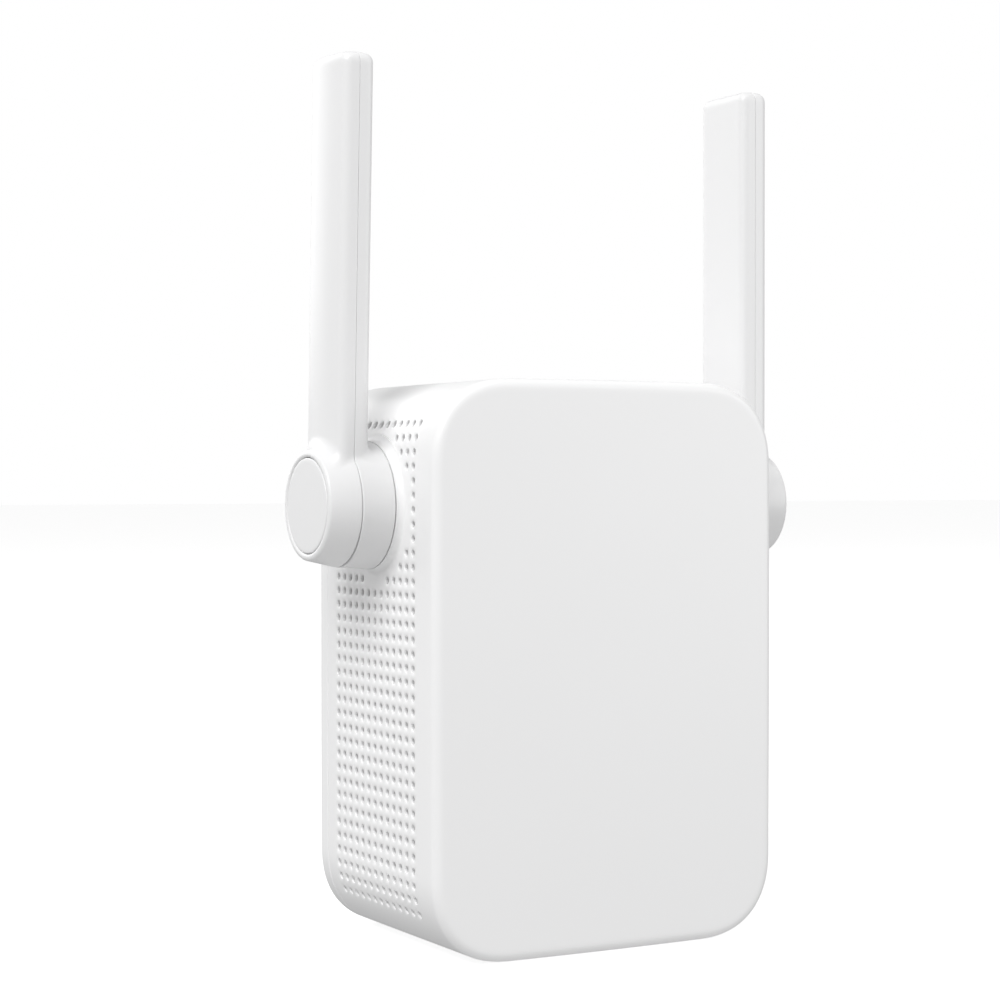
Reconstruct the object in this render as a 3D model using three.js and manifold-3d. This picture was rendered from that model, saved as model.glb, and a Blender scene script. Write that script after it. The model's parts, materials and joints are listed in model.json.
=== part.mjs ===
// Plug-in wireless range extender with two folding paddle antennas.
// Millimetres. The rear face lies on y = 0 and meets the wall, the two blades point along +Y,
// the front looks along -Y and +Z is up. The origin is midway between the blades.
import * as THREE from "three";
import { mergeVertices } from "three/addons/utils/BufferGeometryUtils.js";
import Module from "manifold-3d";

const wasm = await Module();
wasm.setup();

// ---------------------------------------------------------------- driving dimensions
const GAP = 0.3; // air left between two pieces that touch
const BODY = { width: 55.8, height: 80.4, depth: 37.3, wall: 2, frontEdge: 1.3, rearEdge: 0.8 };
const CORNER = { size: 12, power: 2.35, steps: 7 }; // superellipse corners, a little fuller than an arc
const BODY_CENTRE_Z = -18.4; // the blades sit above the middle of the body
const SEAM_Y = -2.8; // rear cover in front of the wall, front cover beyond it
const HINGE = { y: -18.75, belowTop: 17.5, bore: 3.15, spigot: 2.85, leftLeanDeg: 2 };
const HUB = { start: 1.3, seam: 6.1, end: 10.8, rootRadius: 9.05, seamRadius: 8.75, rimRadius: 7.55 };
const PADDLE = { inner: 3.75, outer: 8.2, halfWidth: 5.5, tip: 62.8, fillet: 9, edge: 1.1, corner: 1.8 };
const BLADE = { pitch: 12.7, height: 6.35, thickness: 1.52, length: 17.5, tipHole: 1.6 };
const POST = { x: 19.5, inset: 8.5, radius: 2.6, end: -5.5 }; // screw posts in the four corners
const MAIN_BOARD = { front: -29.6, rear: -28.6, halfWidth: 22.6, top: 15, bottom: -52 };
const POWER_BOARD = { front: -9.6, rear: -8.2, halfWidth: 21, top: 9, bottom: -36 };
const JACK = { halfWidth: 8, front: -28.3, rear: -14.9, height: 21.25, mouthHalf: 5.95, mouthDepth: 14 };
const LED = { y: -30.9, first: -12, pitch: -4.5, count: 4, radius: 0.9 };
const WPS = { y: -25.3, z: -34.5, length: 9, width: 5, proud: 0.6 };
const RESET = { y: -25.3, z: -43.5, hole: 0.9 };

const TOP = BODY_CENTRE_Z + BODY.height / 2;
const BOTTOM = TOP - BODY.height;
const SIDE = BODY.width / 2;
const HINGE_Z = TOP - HINGE.belowTop;
const POSTS = [-1, 1].flatMap((side) => [
  [side * POST.x, TOP - POST.inset],
  [side * POST.x, BOTTOM + POST.inset],
]);
const BOARD_SCREWS = [[-18, 5], [18, 5], [-18, -44]];
const HUB_SCREWS = [[-4, -2], [4, -2]]; // y and z beside the hinge axis
const lampZs = Array.from({ length: LED.count }, (_, i) => LED.first + i * LED.pitch);

// ---------------------------------------------------------------- materials
const look = (color, roughness, metalness = 0) =>
  new THREE.MeshStandardMaterial({ color, roughness, metalness });
const whiteGloss = look(0xf2f2f0, 0.28);
const whiteSatin = look(0xecece9, 0.45);
const blackPlastic = look(0x1c1d1f, 0.5);
const nickel = look(0xc9c7bf, 0.25, 1);
const steel = look(0xa9abac, 0.35, 1);
const boardGreen = look(0x1f5a3a, 0.5);
const clearPlastic = look(0xdfe6ea, 0.15);
const copper = look(0xb8743c, 0.35, 1);
const ferrite = look(0x35363a, 0.7);
const capSleeve = look(0x20242c, 0.35);
const paperLabel = look(0xe4e5e3, 0.6);

// ---------------------------------------------------------------- shape helpers
function toSolid(geometry) {
  const bare = geometry.clone();
  bare.deleteAttribute("normal");
  bare.deleteAttribute("uv");
  const welded = mergeVertices(bare, 1e-4);
  const corners = welded.index.array;
  const faces = [];
  for (let i = 0; i < corners.length; i += 3) {
    const [a, b, c] = corners.slice(i, i + 3);
    if (a !== b && b !== c && c !== a) faces.push(a, b, c);
  }
  const vertProperties = new Float32Array(welded.attributes.position.array);
  return new wasm.Manifold(new wasm.Mesh({ numProp: 3, vertProperties, triVerts: new Uint32Array(faces) }));
}

function toGeometry(manifold) {
  const mesh = manifold.getMesh();
  const geometry = new THREE.BufferGeometry();
  geometry.setAttribute("position", new THREE.BufferAttribute(new Float32Array(mesh.vertProperties), 3));
  geometry.setIndex(Array.from(mesh.triVerts));
  geometry.computeVertexNormals();
  return geometry;
}

const union = (solid, geometries) =>
  geometries.reduce((sum, geometry) => sum.add(toSolid(geometry)), solid);
const cut = (solid, geometries) =>
  geometries.reduce((rest, geometry) => rest.subtract(toSolid(geometry)), solid);

// Joins the geometries in `add`, then takes away those in `remove`.
function carve(add, remove = []) {
  return toGeometry(cut(union(toSolid(add[0]), add.slice(1)), remove));
}

function block([x0, x1], [y0, y1], [z0, z1]) {
  const geometry = new THREE.BoxGeometry(x1 - x0, y1 - y0, z1 - z0);
  return geometry.translate((x0 + x1) / 2, (y0 + y1) / 2, (z0 + z1) / 2);
}

// A straight rod along X, at (y, z), from x0 to x1.
function rodX(radius, [x0, x1], [y, z] = [0, 0], segments = 24) {
  const geometry = new THREE.CylinderGeometry(radius, radius, x1 - x0, segments);
  return geometry.rotateZ(-Math.PI / 2).translate((x0 + x1) / 2, y, z);
}

function rodY(radius, [y0, y1], [x, z] = [0, 0], segments = 12) {
  return new THREE.CylinderGeometry(radius, radius, y1 - y0, segments).translate(x, (y0 + y1) / 2, z);
}

// A profile of (distance along X, radius) points turned about the X axis.
function turnedX(profile, segments = 32) {
  const points = profile.map(([along, radius]) => new THREE.Vector2(radius, along));
  return new THREE.LatheGeometry(points, segments).rotateZ(-Math.PI / 2);
}

function roundedRectangle(halfWidth, bottom, top, radius) {
  const shape = new THREE.Shape();
  shape.absarc(halfWidth - radius, top - radius, radius, 0, Math.PI / 2);
  shape.absarc(radius - halfWidth, top - radius, radius, Math.PI / 2, Math.PI);
  shape.absarc(radius - halfWidth, bottom + radius, radius, Math.PI, 1.5 * Math.PI);
  shape.absarc(halfWidth - radius, bottom + radius, radius, 1.5 * Math.PI, 2 * Math.PI);
  shape.closePath();
  return shape;
}

// The outline of the body seen from the front, moved inwards by `inset`.
function bodyOutline(inset = 0) {
  const size = CORNER.size - inset;
  const straightX = SIDE - CORNER.size;
  const straightZ = BODY.height / 2 - CORNER.size;
  const points = [];
  for (let step = 0; step < 4 * (CORNER.steps + 1); step += 1) {
    const quarter = Math.floor(step / (CORNER.steps + 1));
    const angle = (quarter + (step % (CORNER.steps + 1)) / CORNER.steps) * (Math.PI / 2);
    const [signX, signZ] = [[1, 1], [-1, 1], [-1, -1], [1, -1]][quarter];
    const x = size * Math.abs(Math.cos(angle)) ** (2 / CORNER.power);
    const z = size * Math.abs(Math.sin(angle)) ** (2 / CORNER.power);
    points.push(new THREE.Vector2(signX * (straightX + x), BODY_CENTRE_Z + signZ * (straightZ + z)));
  }
  return new THREE.Shape(points);
}

// A shape drawn in X and Z, made solid from y0 (nearer the viewer) to y1, with an optional round edge.
function slabY(shape, [y0, y1], edge = 0) {
  const geometry = new THREE.ExtrudeGeometry(shape, {
    depth: y1 - y0 - 2 * edge,
    bevelEnabled: edge > 0,
    bevelThickness: edge,
    bevelSize: edge,
    bevelOffset: -edge,
    bevelSegments: 3,
    curveSegments: 7,
  });
  return geometry.rotateX(Math.PI / 2).translate(0, y1 - edge, 0);
}

function ovalX(length, width, [x0, x1], [y, z]) {
  const shape = roundedRectangle(width / 2, -length / 2, length / 2, width / 2 - 0.01);
  const options = { depth: x1 - x0, bevelEnabled: false, curveSegments: 4 };
  const geometry = new THREE.ExtrudeGeometry(shape, options);
  return geometry.rotateX(Math.PI / 2).rotateZ(Math.PI / 2).translate(x0, y, z);
}

function cableAlong(points, radius, steps = 12) {
  const route = new THREE.CatmullRomCurve3(points.map((point) => new THREE.Vector3(...point)));
  const section = new THREE.Shape();
  section.absarc(0, 0, radius, 0, 2 * Math.PI);
  return new THREE.ExtrudeGeometry(section, { steps, extrudePath: route, curveSegments: 4 });
}

const extender = new THREE.Group();

function place(name, geometry, material, parent = extender) {
  const mesh = new THREE.Mesh(geometry, material);
  mesh.name = name;
  parent.add(mesh);
}

// ---------------------------------------------------------------- housing
// The raised ring round one hinge, from inside the side wall to its outer edge.
function flareRing(side) {
  const ring = turnedX([[-0.8, 0], [-0.8, 10.4], [0, 10.4], [0.2, 9.9], [0.55, 9.5], [1, 9.3], [1, 0]]);
  return ring.rotateZ(side < 0 ? Math.PI : 0).translate(side * SIDE, HINGE.y, HINGE_Z);
}

// Everything that passes through the side walls and the underside.
function wallOpenings() {
  const throughWall = [SIDE - 3, SIDE + 1];
  const hinges = [-1, 1].map((side) =>
    rodX(HINGE.bore, [side * SIDE - 4, side * SIDE + 4], [HINGE.y, HINGE_Z]));
  const lamps = lampZs.map((z) => rodX(LED.radius + GAP, throughWall, [LED.y, z], 10));
  return [
    ...hinges,
    ...lamps,
    ovalX(WPS.length + 2 * GAP, WPS.width + 2 * GAP, throughWall, [WPS.y, WPS.z]),
    rodX(RESET.hole, throughWall, [RESET.y, RESET.z], 10),
    block([-JACK.halfWidth - GAP, JACK.halfWidth + GAP], [JACK.front - GAP, JACK.rear + GAP],
      [BOTTOM - 1, BOTTOM + 3]),
  ];
}

// The deep front cover: front wall, four side walls, a flared ring round each hinge and screw posts.
function frontCover() {
  const innerFace = BODY.wall - BODY.depth;
  const walls = cut(toSolid(slabY(bodyOutline(), [-BODY.depth, 4], BODY.frontEdge)), [
    slabY(bodyOutline(BODY.wall), [innerFace, 4]),
    block([-50, 50], [SEAM_Y - GAP, 20], [-90, 50]),
  ]);
  const rooted = [innerFace - 0.5, POST.end];
  const boardBoss = [innerFace - 0.5, MAIN_BOARD.front - GAP];
  const cover = union(walls, [
    ...[-1, 1].map(flareRing),
    ...POSTS.map((at) => rodY(POST.radius, rooted, at)),
    ...BOARD_SCREWS.map((at) => rodY(2.4, boardBoss, at)),
  ]);
  return toGeometry(cut(cover, [
    ...POSTS.map((at) => rodY(1.4, [-14, 0], at)),
    ...BOARD_SCREWS.map((at) => rodY(1.2, [-34, -20], at)),
    ...wallOpenings(),
  ]));
}

// The rear cover: a shallow tray that meets the wall, with a lip inside the front cover's walls,
// two blade slots, four counterbored screw bosses and a recess for the label.
function rearCover() {
  const lipInset = BODY.wall + GAP;
  const tray = cut(toSolid(slabY(bodyOutline(), [SEAM_Y - 3, 0], BODY.rearEdge)),
    [block([-50, 50], [-20, SEAM_Y], [-90, 50])]);
  const lipped = cut(union(tray, [slabY(bodyOutline(lipInset), [SEAM_Y - 2.8, -1])]),
    [slabY(bodyOutline(lipInset + 1.2), [-20, -BODY.wall])]);
  const bosses = POSTS.map((at) => rodY(4.2, [POST.end + GAP, -1], at, 16));
  return toGeometry(cut(union(lipped, bosses), [
    ...POSTS.map((at) => rodY(2.4, [-2.2, 1], at)),
    ...POSTS.map((at) => rodY(1.5, [-8, 0], at)),
    ...bladeSlots([-10, 5]),
    block([-17, 17], [-0.6, 1], [-48, -26]),
  ]));
}

function bladeSlots(depth) {
  const halfHeight = BLADE.height / 2 + GAP;
  const halfWidth = BLADE.thickness / 2 + GAP;
  const slot = (x) => block([x - halfWidth, x + halfWidth], depth, [-halfHeight, halfHeight]);
  return [slot(-BLADE.pitch / 2), slot(BLADE.pitch / 2)];
}

// One flat blade: chamfered tip with a round hole, and a narrow tail that is soldered in the board.
function blade() {
  const half = BLADE.height / 2;
  const tail = 1.5;
  const shape = new THREE.Shape();
  shape.moveTo(BLADE.length - 1.6, half);
  shape.lineTo(BLADE.length, half - 1.6);
  shape.lineTo(BLADE.length, 1.6 - half);
  shape.lineTo(BLADE.length - 1.6, -half);
  shape.lineTo(POWER_BOARD.rear + GAP, -half);
  shape.lineTo(POWER_BOARD.rear + GAP, -tail);
  shape.lineTo(POWER_BOARD.front - 1.2, -tail);
  shape.lineTo(POWER_BOARD.front - 1.2, tail);
  shape.lineTo(POWER_BOARD.rear + GAP, tail);
  shape.lineTo(POWER_BOARD.rear + GAP, half);
  shape.closePath();
  const hole = new THREE.Path();
  hole.absarc(BLADE.length - 4, 0, BLADE.tipHole, 0, 2 * Math.PI);
  shape.holes.push(hole);
  const geometry = new THREE.ExtrudeGeometry(shape, {
    depth: BLADE.thickness, bevelEnabled: false, curveSegments: 12,
  });
  return geometry.rotateX(Math.PI / 2).rotateZ(Math.PI / 2).translate(-BLADE.thickness / 2, 0, 0);
}

// A screw driven along -Y: a cross-recessed head and a plain shaft, at one (x, z) place.
function screwY(at, headRadius, [headFront, headRear], shaftRadius, tip) {
  const arm = (halfX, halfZ) =>
    block([at[0] - halfX, at[0] + halfX], [headRear - 0.6, headRear + 1], [at[1] - halfZ, at[1] + halfZ]);
  return carve(
    [rodY(headRadius, [headFront, headRear], at), rodY(shaftRadius, [tip, headFront + 0.1], at, 8)],
    [arm(0.9, 0.25), arm(0.25, 0.9)],
  );
}

place("front_cover", frontCover(), whiteGloss);
place("rear_cover", rearCover(), whiteSatin);
place("rating_label", block([-16.5, 16.5], [-0.45, -0.2], [-47.5, -26.5]), paperLabel);
POSTS.forEach((at, i) => place(`case_screw_${i + 1}`, screwY(at, 2.1, [-1.9, -0.6], 1.1, -12), steel));

// ---------------------------------------------------------------- plug and power supply
for (const [name, side] of [["plug_blade_left", -1], ["plug_blade_right", 1]]) {
  place(name, blade().translate((side * BLADE.pitch) / 2, 0, 0), nickel);
}
const carrier = block([-11, 11], [POWER_BOARD.rear + GAP, -BODY.wall - GAP], [-6.5, 6.5]);
place("plug_carrier", carve([carrier], bladeSlots([-20, 5])), blackPlastic);

function powerBoard() {
  const { front, rear, halfWidth, top, bottom } = POWER_BOARD;
  const board = slabY(roundedRectangle(halfWidth, bottom, top, 1), [front, rear]);
  const slots = [-1, 1].map((side) => {
    const x = (side * BLADE.pitch) / 2;
    return block([x - 1.06, x + 1.06], [-20, 0], [-1.8, 1.8]);
  });
  return carve([board], slots);
}
place("power_board", powerBoard(), boardGreen);

const TRANSFORMER = { x: -5, y: -16.5, z: -14 };
function transformerCore() {
  const windows = [-1, 1].map((side) => block([side * 4.6 - 2.1, side * 4.6 + 2.1], [-9, 9], [-4.5, 4.5]));
  return carve([block([-9, 9], [-4, 4], [-7.5, 7.5])], windows);
}
function transformerWinding() {
  return carve([block([-6.4, 6.4], [-6.3, 6.3], [-4.2, 4.2])], [block([-2.8, 2.8], [-4.3, 4.3], [-9, 9])]);
}
const inTransformer = ({ x, y, z }, geometry) => geometry.translate(x, y, z);
place("transformer_core", inTransformer(TRANSFORMER, transformerCore()), ferrite);
place("transformer_winding", inTransformer(TRANSFORMER, transformerWinding()), copper);

const onPowerBoard = POWER_BOARD.front - GAP;
const CAPACITORS = [
  ["input_capacitor_a", 5, -14, [-14, -29.5]],
  ["input_capacitor_b", 5, -14, [-2, -29.5]],
  ["output_capacitor_a", 4, -11, [10, -29.5]],
  ["output_capacitor_b", 4, -11, [13, -20]],
];
for (const [name, radius, length, at] of CAPACITORS) {
  place(name, rodY(radius, [onPowerBoard + length, onPowerBoard], at, 20), capSleeve);
}
const fuseLegs = [[11, 11.6], [18.4, 19]].map((along) =>
  block(along, [-12.2, onPowerBoard], [-8.3, -7.7]));
place("fuse_resistor", carve([rodX(1.6, [11, 19], [-12.2, -8], 12), ...fuseLegs]), capSleeve);
place("bridge_rectifier", block([-17, -11], [onPowerBoard - 2.4, onPowerBoard], [1, 6]), blackPlastic);

// ---------------------------------------------------------------- main board and its parts
const onMainFront = MAIN_BOARD.front - GAP;
const onMainRear = MAIN_BOARD.rear + GAP;

function mainBoard() {
  const { front, rear, halfWidth, top, bottom } = MAIN_BOARD;
  const notches = POSTS.map(([x, z]) => {
    const outX = Math.sign(x) * 30;
    const outZ = z > BODY_CENTRE_Z ? 30 : -70;
    const nearX = x - Math.sign(x) * 3.2;
    const nearZ = z - Math.sign(outZ) * 3.2;
    return block([Math.min(outX, nearX), Math.max(outX, nearX)], [-40, -20],
      [Math.min(outZ, nearZ), Math.max(outZ, nearZ)]);
  });
  const holes = BOARD_SCREWS.map((at) => rodY(1.2, [-40, -20], at));
  return carve([block([-halfWidth, halfWidth], [front, rear], [bottom, top])], [...notches, ...holes]);
}
place("main_board", mainBoard(), boardGreen);
BOARD_SCREWS.forEach((at, i) =>
  place(`board_screw_${i + 1}`, screwY(at, 1.9, [onMainRear, onMainRear + 1.2], 0.9, -33), steel));

const canOuter = block([-12, 12], [onMainFront - 2.2, onMainFront], [-24, 0]);
const canInner = block([-11.7, 11.7], [onMainFront - 1.9, onMainFront + 1], [-23.7, -0.3]);
place("shield_can", carve([canOuter], [canInner]), steel);
place("wifi_chip", block([-4, 4], [onMainFront - 1, onMainFront], [-17, -9]), blackPlastic);
place("ethernet_transformer", block([-6, 6], [onMainRear, onMainRear + 3.5], [-34.5, -26]), blackPlastic);

function boardLink() {
  const pins = [-3, -1, 1, 3].map((x) => rodY(0.35, [onMainRear, onPowerBoard], [x * 1.27, 6], 6));
  return carve([block([-5, 5], [-20, -17.5], [4.7, 7.3]), ...pins]);
}
place("board_link", boardLink(), nickel);

// The network socket opens downwards; its latch slot is on the side away from the main board.
const mouthZ = BOTTOM + GAP;
function ethernetJack() {
  const { halfWidth, front, rear, height } = JACK;
  const shell = block([-halfWidth, halfWidth], [front, rear], [mouthZ, mouthZ + height]);
  const cavity = [mouthZ - 1, mouthZ + JACK.mouthDepth];
  return carve([shell], [
    block([-JACK.mouthHalf, JACK.mouthHalf], [-27, -19.6], cavity),
    block([-3.2, 3.2], [-20, -17.2], cavity),
  ]);
}
place("ethernet_jack", ethernetJack(), blackPlastic);

// Eight spring wires that slant back into the socket from a comb at its inner end.
function jackContacts() {
  const comb = block([-4.4, 4.4], [-26.6, -24.7], [mouthZ + 12.4, mouthZ + 13.6]);
  const wires = Array.from({ length: 8 }, (_, i) =>
    new THREE.BoxGeometry(0.4, 0.35, 11).rotateX(-0.15).translate((i - 3.5) * 1.02, -25.7, mouthZ + 7.4));
  return carve([comb, ...wires]);
}
place("jack_contacts", jackContacts(), nickel);

// Four side-lit lamps and the clear guide that carries their light to the right-hand wall.
const lastLamp = lampZs[LED.count - 1];
const lamps = lampZs.map((z) => block([21.2, 22.5], [onMainFront - 1.4, onMainFront], [z - 1, z + 1]));
const lampStrip = block([20, 21.6], [onMainFront - 0.5, onMainFront], [lastLamp - 1.6, lampZs[0] + 1.6]);
place("led_strip", carve([lampStrip, ...lamps]), clearPlastic);
const guideBar = block([23, 24.2], [LED.y - 1.2, LED.y + 1.2], [lastLamp - 1.2, lampZs[0] + 1.2]);
const guideRods = lampZs.map((z) => rodX(LED.radius, [23.5, SIDE - 0.05], [LED.y, z], 10));
place("light_guide", carve([guideBar, ...guideRods]), clearPlastic);

// ---------------------------------------------------------------- push buttons on the right-hand wall
function switchBody([x0, x1], halfLength, plungerRadius, { y, z }) {
  const shell = block([x0, x1], [onMainRear, 2 * y - onMainRear], [z - halfLength, z + halfLength]);
  return carve([shell], [rodX(plungerRadius + GAP, [x1 - 2, x1 + 1], [y, z], 20)]);
}
place("wps_switch_body", switchBody([19.6, 23.2], 3, 1.5, WPS), blackPlastic);
place("wps_switch_plunger", rodX(1.5, [22, 24.5], [WPS.y, WPS.z], 20), whiteSatin);
const capFlange = ovalX(WPS.length + 1.6, WPS.width + 1.6, [24.8, SIDE - BODY.wall - GAP], [WPS.y, WPS.z]);
const capFace = ovalX(WPS.length, WPS.width, [25, SIDE + WPS.proud], [WPS.y, WPS.z]);
place("wps_button_cap", carve([capFlange, capFace]), whiteGloss);
place("reset_switch_body", switchBody([20.2, 23.4], 2.2, 0.8, RESET), blackPlastic);
place("reset_switch_plunger", rodX(0.8, [22, 24.8], [RESET.y, RESET.z], 16), whiteSatin);

// ---------------------------------------------------------------- antennas
// Drawn on the hinge axis with +X away from the body; 0 is the outer face of the body's side wall.
const hubRadius = (x) => {
  const rim = (x - HUB.seam) / (HUB.end - HUB.seam);
  const root = (HUB.seam - x) / (HUB.seam - HUB.start);
  return rim > 0
    ? HUB.seamRadius + rim * (HUB.rimRadius - HUB.seamRadius)
    : HUB.seamRadius + root * (HUB.rootRadius - HUB.seamRadius);
};

// The paddle seen from the side: straight edges, a concave sweep and a round foot on the hub.
function paddleOutline() {
  const { halfWidth, fillet, tip, corner } = PADDLE;
  const foot = HUB.rimRadius;
  const sweepY = halfWidth + fillet;
  const sweepZ = Math.sqrt((foot + fillet) ** 2 - sweepY ** 2);
  const meet = Math.atan2(sweepZ, sweepY);
  const shape = new THREE.Shape();
  shape.absarc(halfWidth - corner, tip - corner, corner, 0, Math.PI / 2);
  shape.absarc(corner - halfWidth, tip - corner, corner, Math.PI / 2, Math.PI);
  shape.absarc(-sweepY, sweepZ, fillet, 0, -meet, true);
  shape.absarc(0, 0, foot, Math.PI - meet, 2 * Math.PI + meet);
  shape.absarc(sweepY, sweepZ, fillet, Math.PI + meet, Math.PI, true);
  shape.closePath();
  return shape;
}

function paddle() {
  const { inner, outer, edge } = PADDLE;
  const geometry = new THREE.ExtrudeGeometry(paddleOutline(), {
    depth: outer - inner - 2 * edge,
    bevelThickness: edge,
    bevelSize: edge,
    bevelOffset: -edge,
    bevelSegments: 2,
    curveSegments: 7,
  });
  return geometry.rotateX(Math.PI / 2).rotateZ(Math.PI / 2).translate(inner + edge, 0, 0);
}

const antennaHollow = [
  block([4.6, 7.3], [-4.2, 4.2], [0, PADDLE.tip - 1.4]),
  rodX(6.4, [3.3, 8.3]),
];

function innerShell() {
  const { start, seam, rootRadius } = HUB;
  const faceEnd = seam - GAP / 2;
  const hub = turnedX([[start, 0], [start, rootRadius], [faceEnd, hubRadius(faceEnd)], [faceEnd, 0]]);
  const far = block([faceEnd, 20], [-20, 20], [-20, 80]);
  const shell = cut(union(toSolid(hub), [paddle()]), [far, ...antennaHollow]);
  const bosses = HUB_SCREWS.map((at) => rodX(2, [3, faceEnd], at, 12));
  const pilots = HUB_SCREWS.map((at) => rodX(0.95, [3.4, 9], at, 10));
  const spigot = turnedX([[-6, 0], [-6, HINGE.spigot], [-4.7, HINGE.spigot], [-4.7, 2.2], [-3.4, 2.2],
    [-3.4, HINGE.spigot], [start + 0.2, HINGE.spigot], [start + 0.2, 0]], 24);
  const wireway = rodX(1.3, [-9, 4], [0, 0], 16);
  return toGeometry(cut(union(shell, [...bosses, spigot]), [...pilots, wireway]));
}

function outerShell() {
  const { seam, end, rimRadius } = HUB;
  const face = seam + GAP / 2;
  const hub = turnedX([[face, 0], [face, hubRadius(face)], [end - 0.4, rimRadius],
    [end, rimRadius - 0.35], [end, 0]]);
  const near = block([-20, face], [-20, 20], [-20, 80]);
  const capWell = rodX(6.85, [9.3, end + 1], [0, 0], 32);
  const shell = cut(union(toSolid(hub), [paddle()]), [near, ...antennaHollow, capWell]);
  const bosses = HUB_SCREWS.map((at) => rodX(2.3, [face, 9], at, 12));
  return toGeometry(cut(union(shell, bosses), [
    ...HUB_SCREWS.map((at) => rodX(1.8, [7.9, 12], at, 12)),
    ...HUB_SCREWS.map((at) => rodX(0.95, [3, 12], at, 10)),
  ]));
}

const hubScrew = (at) =>
  carve([rodX(1.5, [8.2, 9.2], at, 12), rodX(0.65, [3.8, 8.3], at, 8)],
    [block([8.7, 10], [at[0] - 0.8, at[0] + 0.8], [at[1] - 0.2, at[1] + 0.2])]);

// An open steel ring that snaps into the spigot's groove and keeps the antenna on the body.
function retainingClip() {
  const ring = turnedX([[-4.4, 2.5], [-4.4, 4.6], [-3.7, 4.6], [-3.7, 2.5], [-4.4, 2.5]], 24);
  return carve([ring], [block([-9, 0], [-1.6, 1.6], [-9, 0])]);
}

const radiator = () => block([5.4, 6.2], [-3.2, 3.2], [12, 57]);
const antennaCoax = () =>
  cableAlong([[5.8, 0, 11.6], [5.8, 0, 8], [5.5, 0, 3.8], [4.2, 0, 0.9], [2.2, 0, 0], [-1, 0, 0]], 0.8);

function antenna(sideName, side) {
  const pivot = new THREE.Group();
  pivot.position.set(side * SIDE, HINGE.y, HINGE_Z);
  pivot.rotation.x = side < 0 ? THREE.MathUtils.degToRad(HINGE.leftLeanDeg) : 0;
  const outward = new THREE.Group();
  outward.rotation.z = side < 0 ? Math.PI : 0;
  pivot.add(outward);
  extender.add(pivot);
  const cap = turnedX([[9.6, 0], [9.6, 6.55], [10.35, 6.55], [10.5, 6.4], [10.5, 0]]);
  place(`antenna_inner_shell_${sideName}`, innerShell(), whiteSatin, outward);
  place(`antenna_outer_shell_${sideName}`, outerShell(), whiteSatin, outward);
  place(`hinge_end_cap_${sideName}`, cap, whiteGloss, outward);
  place(`hub_screw_front_${sideName}`, hubScrew(HUB_SCREWS[side < 0 ? 1 : 0]), steel, outward);
  place(`hub_screw_rear_${sideName}`, hubScrew(HUB_SCREWS[side < 0 ? 0 : 1]), steel, outward);
  place(`radiator_${sideName}`, radiator(), copper, outward);
  place(`antenna_coax_${sideName}`, antennaCoax(), blackPlastic, outward);
  place(`hinge_clip_${sideName}`, retainingClip(), steel, outward);
}

// What stays in the body beside each hinge: the friction washer, the coax tail and its socket.
function hingeSeat(sideName, side) {
  const wall = SIDE - BODY.wall;
  const [near, far] = [wall - GAP - 0.9, wall - GAP];
  const { bore } = HINGE;
  const washer = turnedX([[near, bore], [near, 5.5], [far, 5.5], [far, bore], [near, bore]], 24);
  washer.rotateZ(side < 0 ? Math.PI : 0);
  place(`friction_washer_${sideName}`, washer.translate(0, HINGE.y, HINGE_Z), steel);
  const route = [[SIDE - 1.6, 0, 0], [SIDE - 5, 0, 0], [SIDE - 9, -0.6, 0.5], [15, -4, 2.5], [13, -7.4, 3.6]];
  const points = route.map(([x, y, z]) => [side * x, HINGE.y + y, HINGE_Z + z]);
  place(`coax_pigtail_${sideName}`, cableAlong(points, 0.85), blackPlastic);
  const socket = rodY(1.4, [onMainRear, onMainRear + 1.2], [side * 13, HINGE_Z + 3.6], 16);
  place(`coax_socket_${sideName}`, socket, nickel);
}

for (const [sideName, side] of [["left", -1], ["right", 1]]) {
  hingeSeat(sideName, side);
  antenna(sideName, side);
}
export default extender;
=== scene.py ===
"""Looks of a plug-in range extender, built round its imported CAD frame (Blender 4.5).

Lengths in this script are millimetres until bare() turns them into metres. The rear face is y = 0,
the front looks along -Y, +Z is up and the antennas turn about an axis along X. An inset is a distance
inwards from the body's outline.
"""
import json
from math import asin, cos, pi, radians, sin

import bpy
import numpy as np
from mathutils import Euler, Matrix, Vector


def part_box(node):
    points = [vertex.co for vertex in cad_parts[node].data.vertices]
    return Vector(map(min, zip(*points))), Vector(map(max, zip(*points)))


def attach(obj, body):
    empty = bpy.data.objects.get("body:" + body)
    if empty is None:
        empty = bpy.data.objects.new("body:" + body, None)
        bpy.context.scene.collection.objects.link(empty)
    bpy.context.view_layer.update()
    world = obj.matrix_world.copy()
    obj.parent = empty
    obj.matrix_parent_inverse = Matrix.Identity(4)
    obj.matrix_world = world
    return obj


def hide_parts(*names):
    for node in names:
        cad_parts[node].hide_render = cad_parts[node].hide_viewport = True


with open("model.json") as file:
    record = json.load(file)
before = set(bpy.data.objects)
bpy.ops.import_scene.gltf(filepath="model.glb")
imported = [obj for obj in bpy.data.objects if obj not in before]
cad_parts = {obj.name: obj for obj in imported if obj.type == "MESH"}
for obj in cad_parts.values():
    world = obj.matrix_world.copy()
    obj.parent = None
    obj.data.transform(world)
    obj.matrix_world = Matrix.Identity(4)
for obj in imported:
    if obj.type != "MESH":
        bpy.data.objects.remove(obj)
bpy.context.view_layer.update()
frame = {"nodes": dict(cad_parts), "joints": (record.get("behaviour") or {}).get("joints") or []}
MM = 0.001


def box_mm(node):
    """Lowest and highest corner of a CAD node, in millimetres."""
    low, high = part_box(node)
    return np.array(low) / MM, np.array(high) / MM


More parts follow.
